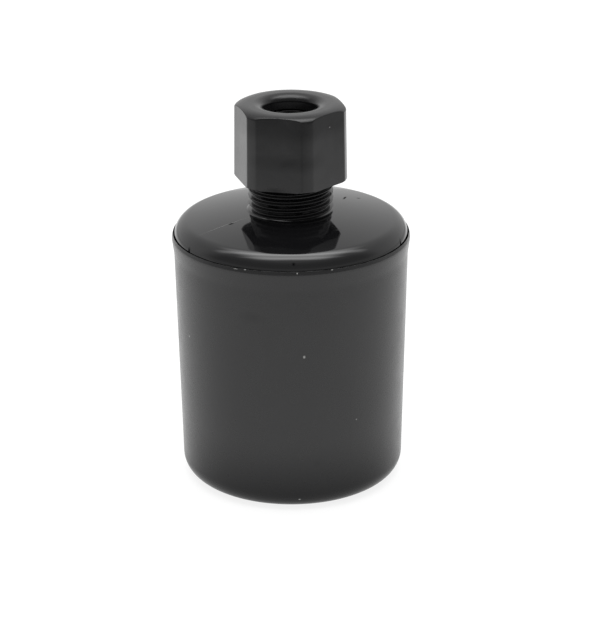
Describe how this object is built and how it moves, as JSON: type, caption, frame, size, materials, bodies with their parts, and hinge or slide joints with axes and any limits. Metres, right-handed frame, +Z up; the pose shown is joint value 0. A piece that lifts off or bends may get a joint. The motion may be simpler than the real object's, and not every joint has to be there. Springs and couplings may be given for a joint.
{
  "type": "pneumatic muffler",
  "caption": "Black plastic canister silencer with a domed cap, a threaded neck and a hexagonal compression nut for a push-in tube.",
  "frame": {"origin": "centre of the flat foot ring that the canister stands on", "axes": "+Z up along the axis of the canister and its inlet; -Y towards the front view"},
  "size_m": [0.0508, 0.0508, 0.0826],
  "materials": {
    "canister_plastic": "satin black moulded plastic",
    "cap_plastic": "gloss black moulded plastic with fine scratches",
    "nut_plastic": "semi-gloss black moulded plastic",
    "acetal": "black acetal",
    "stainless": "bright stainless steel",
    "rubber": "black nitrile rubber",
    "felt": "grey needled felt",
    "sheet_aluminium": "plain mill finish"
  },
  "bodies": {
    "root": {"canister": "canister_plastic", "cap": "cap_plastic", "tube_seal": "rubber", "seal_washer": "acetal", "clamp_cone": "acetal", "diffuser_tube": "sheet_aluminium", "diffuser_gasket": "rubber", "diffuser_plug": "acetal", "inner_felt_sleeve": "felt", "perforated_liner": "sheet_aluminium", "outer_felt_ring_lower": "felt", "outer_felt_ring_middle": "felt", "outer_felt_ring_upper": "felt", "upper_baffle": "sheet_aluminium", "upper_felt_pad": "felt", "lower_baffle": "sheet_aluminium", "exhaust_filter": "felt", "screen_retainer": "acetal", "exhaust_screen": "stainless"},
    "grip": {"grip_ring": "stainless", "thrust_ring": "acetal"},
    "nut": {"compression_nut": "nut_plastic"}
  },
  "joints": [
    {"name": "nut_travel", "type": "slide", "parent": "root", "child": "grip", "axis": [0, 0, 1], "range_m": [0, 0.0075]},
    {"name": "nut_turn", "type": "hinge", "parent": "grip", "child": "nut", "pos_m": [0, 0, 0.0747], "axis": [0, 0, 1], "range_deg": [0, 1800]}
  ],
  "couplings": [
    {"joint": "nut_travel", "follows": "nut_turn", "m_per_rad": 0.00023873}
  ]
}
